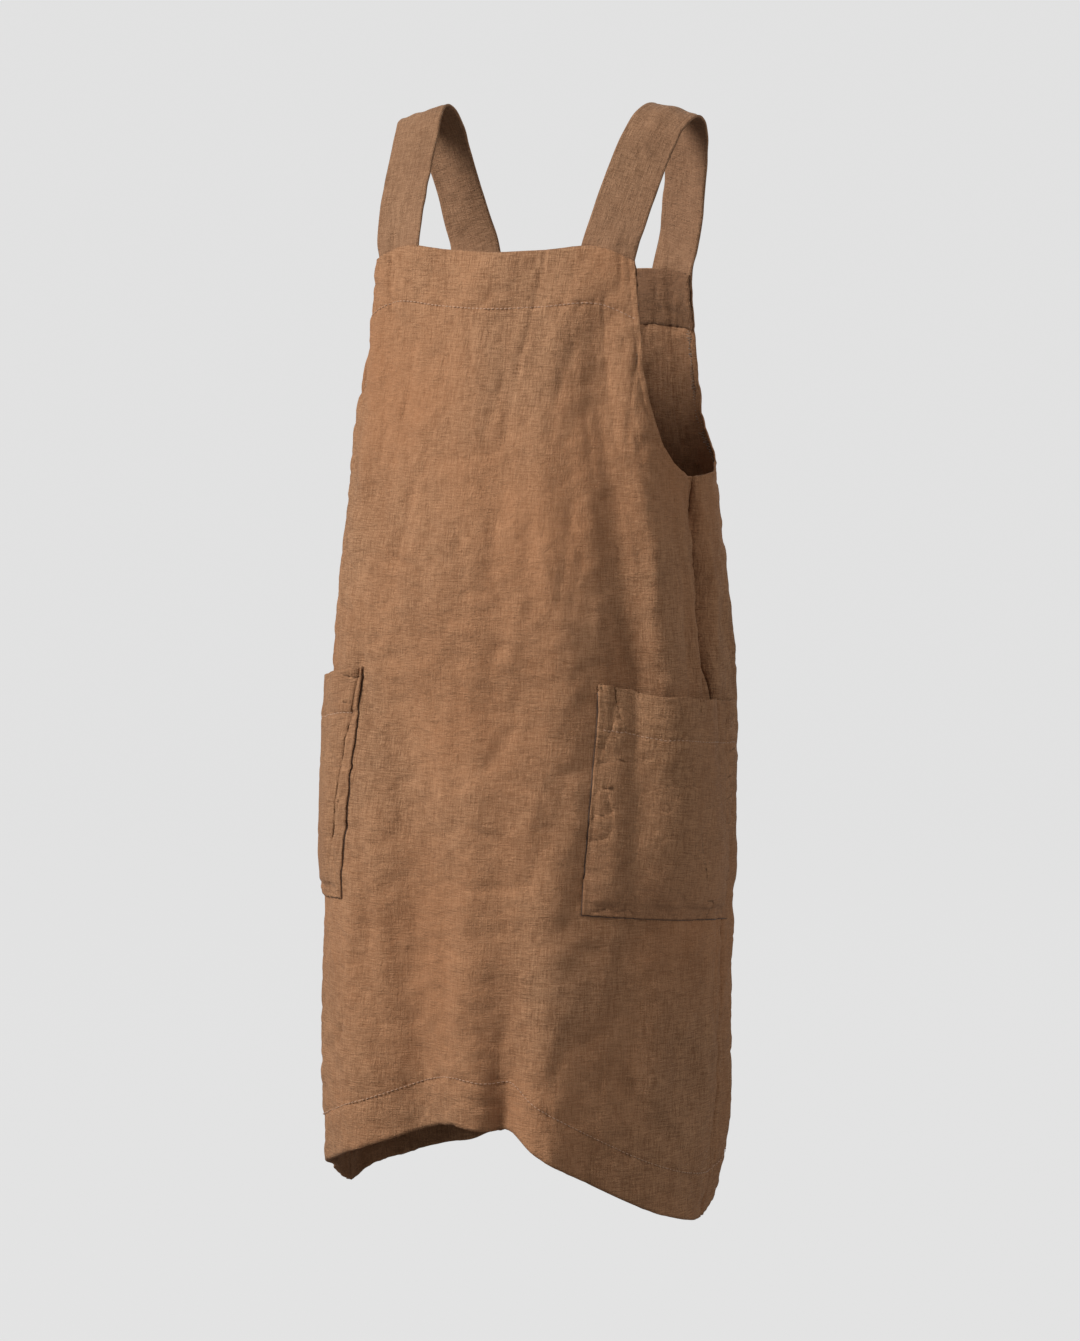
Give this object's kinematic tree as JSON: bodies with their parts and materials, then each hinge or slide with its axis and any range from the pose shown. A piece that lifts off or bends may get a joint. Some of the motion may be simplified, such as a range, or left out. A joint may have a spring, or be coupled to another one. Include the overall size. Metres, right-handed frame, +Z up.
{
  "type": "pinafore dress",
  "caption": "Linen pinafore dress with a square bib, wide shoulder straps, patch pockets wrapped over the side seams and a dipped hem, filled out as if worn.",
  "frame": {"origin": "between the crests of the shoulder straps, where the shoulders hold the dress", "axes": "+Z up, the front of the dress faces -Y, +X is the wearer's left"},
  "size_m": [0.4065, 0.3518, 1.0208],
  "materials": {
    "linen_body": "matt washed linen",
    "linen_facing": "matt washed linen",
    "linen_strap": "matt washed linen",
    "linen_pocket": "matt washed linen"
  },
  "bodies": {
    "root": {"front_panel": "linen_body", "back_panel": "linen_body", "front_facing": "linen_facing", "back_facing": "linen_facing", "strap_left": "linen_strap", "strap_right": "linen_strap", "pocket_left": "linen_pocket", "pocket_right": "linen_pocket"}
  },
  "joints": []
}
